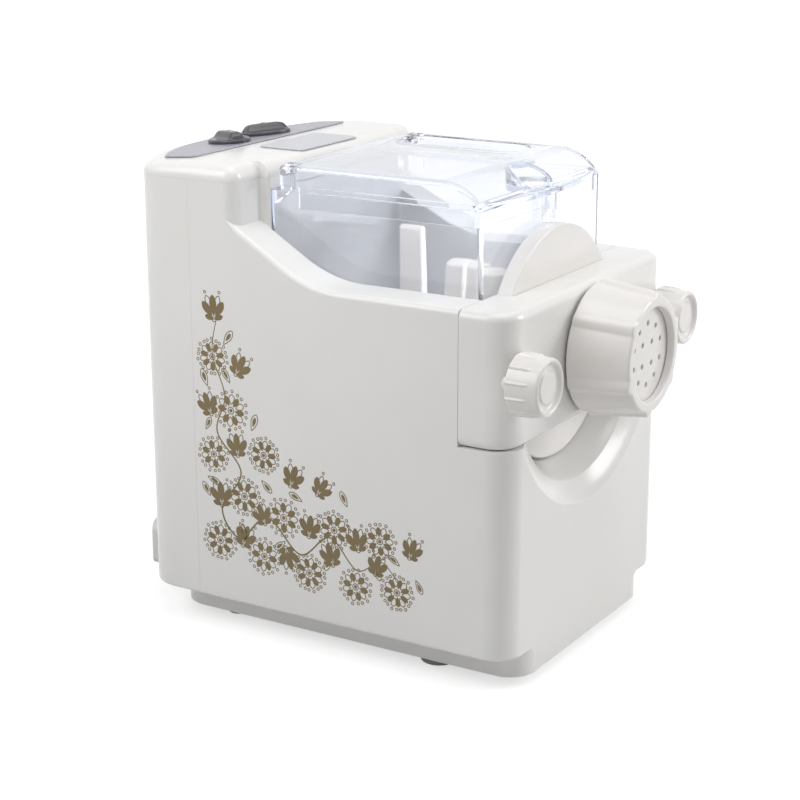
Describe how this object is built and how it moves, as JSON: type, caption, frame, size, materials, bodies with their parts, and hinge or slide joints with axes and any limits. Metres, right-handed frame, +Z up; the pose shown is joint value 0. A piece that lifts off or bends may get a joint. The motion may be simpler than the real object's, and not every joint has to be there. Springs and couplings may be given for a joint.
{
  "type": "electric pasta maker",
  "caption": "Countertop pasta machine with a white bowed housing, clear mixing tub and hinged lid, clamped front head, perforated die with ring nut, geared paddle drive and rotary switches.",
  "frame": {"origin": "on the table under the middle of the object's box", "axes": "+Z up, -Y to the front where the dough comes out, +X to the right seen from the front"},
  "size_m": [0.2164, 0.308, 0.2889],
  "materials": {
    "white_plastic": "glossy moulded",
    "warm_white_plastic": "satin moulded",
    "base_plastic": "fine matt",
    "clear_plastic": "clear polished plastic",
    "silver_grey_plastic": "satin foil",
    "label_foil": "satin foil",
    "dark_plastic": "satin",
    "black_plastic": "matt",
    "rubber": "matt",
    "steel": "plain",
    "brass": "turned",
    "nylon": "moulded",
    "stator_iron": "lacquered windings",
    "board": "coated board"
  },
  "bodies": {
    "housing": {"main_housing": "white_plastic", "rear_housing": "white_plastic", "top_cover": "white_plastic", "control_panel": "silver_grey_plastic", "label_plate": "label_foil", "base_plate": "base_plastic", "foot_left_front": "rubber", "foot_right_front": "rubber", "foot_left_rear": "rubber", "foot_right_rear": "rubber", "base_screw_left_front": "steel", "base_screw_right_front": "steel", "base_screw_left_rear": "steel", "base_screw_right_rear": "steel", "cord_inlet": "base_plastic", "circuit_board": "board", "mixing_tub": "clear_plastic", "shaft_seal": "rubber", "hinge_pin_left": "steel", "hinge_pin_right": "steel", "clamp_insert_left": "brass", "clamp_insert_right": "brass", "gear_frame_front": "steel", "gear_frame_rear": "steel", "drive_bush_front": "brass", "drive_bush_rear": "brass", "lay_bush_front": "brass", "lay_bush_rear": "brass", "motor_can": "steel", "motor_stator": "stator_iron", "motor_end_cap": "black_plastic", "left_switch_body": "black_plastic", "right_switch_body": "black_plastic"},
    "lid": {"lid": "clear_plastic"},
    "head": {"extruder_head": "white_plastic", "front_disc": "warm_white_plastic", "disc_seal": "rubber"},
    "die": {"die_plate": "warm_white_plastic"},
    "nut": {"ring_nut": "warm_white_plastic"},
    "left_washer": {"clamp_washer_left": "steel"},
    "right_washer": {"clamp_washer_right": "steel"},
    "left_clamp": {"clamp_knob_left": "warm_white_plastic", "clamp_screw_left": "steel"},
    "right_clamp": {"clamp_knob_right": "warm_white_plastic", "clamp_screw_right": "steel"},
    "drive": {"drive_shaft": "steel", "output_gear": "nylon", "mixing_paddle": "warm_white_plastic"},
    "layshaft": {"lay_shaft": "steel", "lay_gear": "nylon", "lay_pinion": "steel"},
    "rotor": {"motor_rotor": "steel", "motor_pinion": "brass", "cooling_fan": "black_plastic"},
    "left_switch": {"left_switch_knob": "dark_plastic", "left_switch_spindle": "steel"},
    "right_switch": {"right_switch_knob": "dark_plastic", "right_switch_spindle": "steel"}
  },
  "joints": [
    {"name": "lid_hinge", "type": "hinge", "parent": "housing", "child": "lid", "pos_m": [0, 0.04125, 0.2721], "axis": [-1, 0, 0], "range_deg": [0, 100]},
    {"name": "head_pull", "type": "slide", "parent": "housing", "child": "head", "axis": [0, -1, 0], "range_m": [0, 0.075]},
    {"name": "die_travel", "type": "slide", "parent": "head", "child": "die", "axis": [0, -1, 0], "range_m": [0, 0.0101]},
    {"name": "nut_turn", "type": "hinge", "parent": "die", "child": "nut", "pos_m": [0, -0.13595, 0.178], "axis": [0, -1, 0], "range_deg": [0, 900]},
    {"name": "left_washer_travel", "type": "slide", "parent": "head", "child": "left_washer", "axis": [0, -1, 0], "range_m": [0, 0.0181]},
    {"name": "left_clamp_turn", "type": "hinge", "parent": "left_washer", "child": "left_clamp", "pos_m": [-0.088, -0.12595, 0.178], "axis": [0, -1, 0], "range_deg": [0, 2160]},
    {"name": "right_washer_travel", "type": "slide", "parent": "head", "child": "right_washer", "axis": [0, -1, 0], "range_m": [0, 0.0181]},
    {"name": "right_clamp_turn", "type": "hinge", "parent": "right_washer", "child": "right_clamp", "pos_m": [0.088, -0.12595, 0.178], "axis": [0, -1, 0], "range_deg": [0, 2160]},
    {"name": "paddle_spin", "type": "hinge", "parent": "housing", "child": "drive", "pos_m": [0, 0.05605, 0.178], "axis": [0, -1, 0], "continuous": true},
    {"name": "layshaft_spin", "type": "hinge", "parent": "housing", "child": "layshaft", "pos_m": [0, 0.08205, 0.118], "axis": [0, -1, 0], "continuous": true},
    {"name": "rotor_spin", "type": "hinge", "parent": "housing", "child": "rotor", "pos_m": [0, 0.11605, 0.07], "axis": [0, -1, 0], "continuous": true},
    {"name": "left_switch_turn", "type": "hinge", "parent": "housing", "child": "left_switch", "pos_m": [-0.0185, 0.11597, 0.27686], "axis": [0, 0.0872, 0.9962], "range_deg": [-120, 120]},
    {"name": "right_switch_turn", "type": "hinge", "parent": "housing", "child": "right_switch", "pos_m": [0.0185, 0.11597, 0.27686], "axis": [0, 0.0872, 0.9962], "range_deg": [-60, 60]}
  ],
  "couplings": [
    {"joint": "die_travel", "follows": "nut_turn", "m_per_rad": 0.00063662},
    {"joint": "left_washer_travel", "follows": "left_clamp_turn", "m_per_rad": 0.00047746},
    {"joint": "right_washer_travel", "follows": "right_clamp_turn", "m_per_rad": 0.00047746},
    {"joint": "layshaft_spin", "follows": "paddle_spin", "ratio": -4},
    {"joint": "rotor_spin", "follows": "paddle_spin", "ratio": 12}
  ]
}
